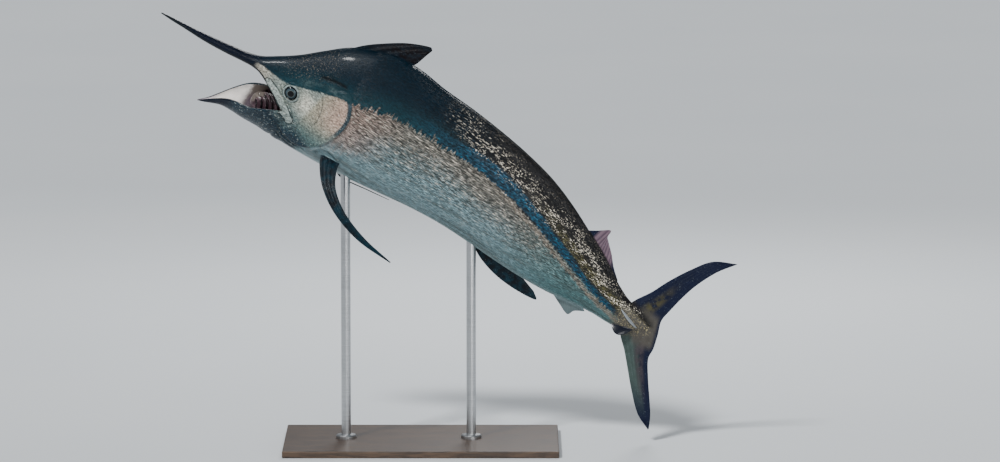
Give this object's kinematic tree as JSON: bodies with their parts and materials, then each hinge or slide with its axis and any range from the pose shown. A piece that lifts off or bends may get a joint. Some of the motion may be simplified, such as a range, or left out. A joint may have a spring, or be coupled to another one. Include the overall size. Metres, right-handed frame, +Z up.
{
  "type": "black marlin display model",
  "caption": "Life-size still model of a leaping black marlin, bill raised and mouth open, held by two steel rods on a flat black base.",
  "frame": {"origin": "centre of the underside of the stand's flat base, on the floor", "axes": "+Z up, -X the way the fish faces along the base, -Y out of the fish's left side"},
  "size_m": [3.3359, 0.9905, 2.5376],
  "materials": {
    "dark_skin": "gloss",
    "silver_skin": "gloss",
    "cheek_skin": "gloss",
    "eye_gloss": "gloss",
    "fin_dark": "gloss",
    "fin_pale": "gloss",
    "stand_paint": "satin",
    "stand_steel": "satin"
  },
  "bodies": {
    "root": {"bill": "dark_skin", "head": "silver_skin", "lower_jaw": "silver_skin", "gill_cover_left": "cheek_skin", "gill_cover_right": "cheek_skin", "eye_left": "eye_gloss", "eye_right": "eye_gloss", "trunk_front": "silver_skin", "trunk_middle": "silver_skin", "trunk_rear": "silver_skin", "tail_stalk": "silver_skin", "first_dorsal_fin": "fin_dark", "second_dorsal_fin": "fin_dark", "first_anal_fin": "fin_dark", "second_anal_fin": "fin_pale", "pectoral_fin_left": "fin_dark", "pectoral_fin_right": "fin_dark", "pelvic_fin_left": "fin_dark", "pelvic_fin_right": "fin_dark", "tail_fin_upper": "fin_dark", "tail_fin_lower": "fin_dark", "keel_upper_left": "dark_skin", "keel_upper_right": "dark_skin", "keel_lower_left": "dark_skin", "keel_lower_right": "dark_skin", "stand_base": "stand_paint", "stand_rod_front": "stand_steel", "stand_rod_rear": "stand_steel"}
  },
  "joints": []
}
